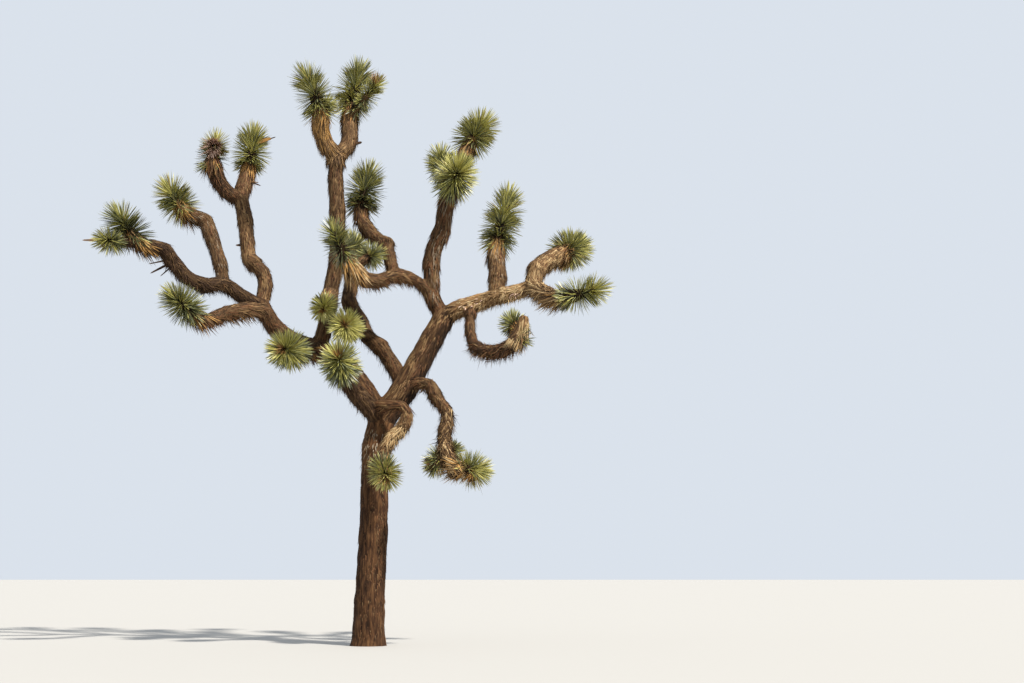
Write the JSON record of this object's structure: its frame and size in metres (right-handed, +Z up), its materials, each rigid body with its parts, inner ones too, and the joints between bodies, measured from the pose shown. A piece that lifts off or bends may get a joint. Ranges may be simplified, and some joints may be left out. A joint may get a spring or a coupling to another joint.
{
  "type": "joshua tree",
  "caption": "Whole joshua tree rooted in the ground: stout trunk, crooked forking limbs and a tuft of stiff dagger leaves round every limb's end.",
  "frame": {"origin": "middle of the flat cut under the trunk, at ground level", "axes": "+Z up; the view of the picture is from -Y, with +X to its right"},
  "size_m": [6.7706, 2.9551, 8.3923],
  "materials": {
    "trunk_bark": "matte",
    "limb_bark": "matte",
    "dead_leaf": "matte",
    "leaf": "satin"
  },
  "bodies": {
    "root": {"centre_north": "limb_bark", "centre_riser": "limb_bark", "cross_limb": "limb_bark", "cross_riser": "limb_bark", "crown_riser": "limb_bark", "drooping_arm": "limb_bark", "drooping_tail": "limb_bark", "far_left_arm": "limb_bark", "far_left_riser": "limb_bark", "front_left_spur": "limb_bark", "front_loop": "limb_bark", "front_spur": "limb_bark", "hook_drop": "limb_bark", "hook_rise": "limb_bark", "hook_spur": "limb_bark", "left_bough": "trunk_bark", "left_riser": "limb_bark", "loop_return": "limb_bark", "low_left_arm": "limb_bark", "mid_bough": "trunk_bark", "mid_spur": "limb_bark", "right_arm": "limb_bark", "right_bough": "trunk_bark", "right_reach": "limb_bark", "right_riser": "limb_bark", "right_shoulder": "limb_bark", "riser_east": "limb_bark", "riser_west": "limb_bark", "top_east": "limb_bark", "top_west": "limb_bark", "trunk": "trunk_bark", "tuft_centre_back": "leaf", "tuft_centre_front": "leaf", "tuft_centre_north": "leaf", "tuft_cross_back": "leaf", "tuft_cross_riser": "leaf", "tuft_cross_west": "leaf", "tuft_droop_back": "leaf", "tuft_droop_left": "leaf", "tuft_droop_right": "leaf", "tuft_far_left": "leaf", "tuft_far_left_low": "leaf", "tuft_far_left_riser": "leaf", "tuft_front": "leaf", "tuft_front_left": "leaf", "tuft_hanging": "leaf", "tuft_hook": "leaf", "tuft_loop": "leaf", "tuft_low_left": "leaf", "tuft_mid": "leaf", "tuft_mid_back": "leaf", "tuft_right_reach": "leaf", "tuft_right_riser": "leaf", "tuft_right_shoulder": "leaf", "tuft_riser_east": "leaf", "tuft_riser_west": "leaf", "tuft_top_east": "leaf", "tuft_top_east_side": "leaf", "tuft_top_west": "leaf", "tuft_top_west_side": "leaf"}
  },
  "joints": []
}
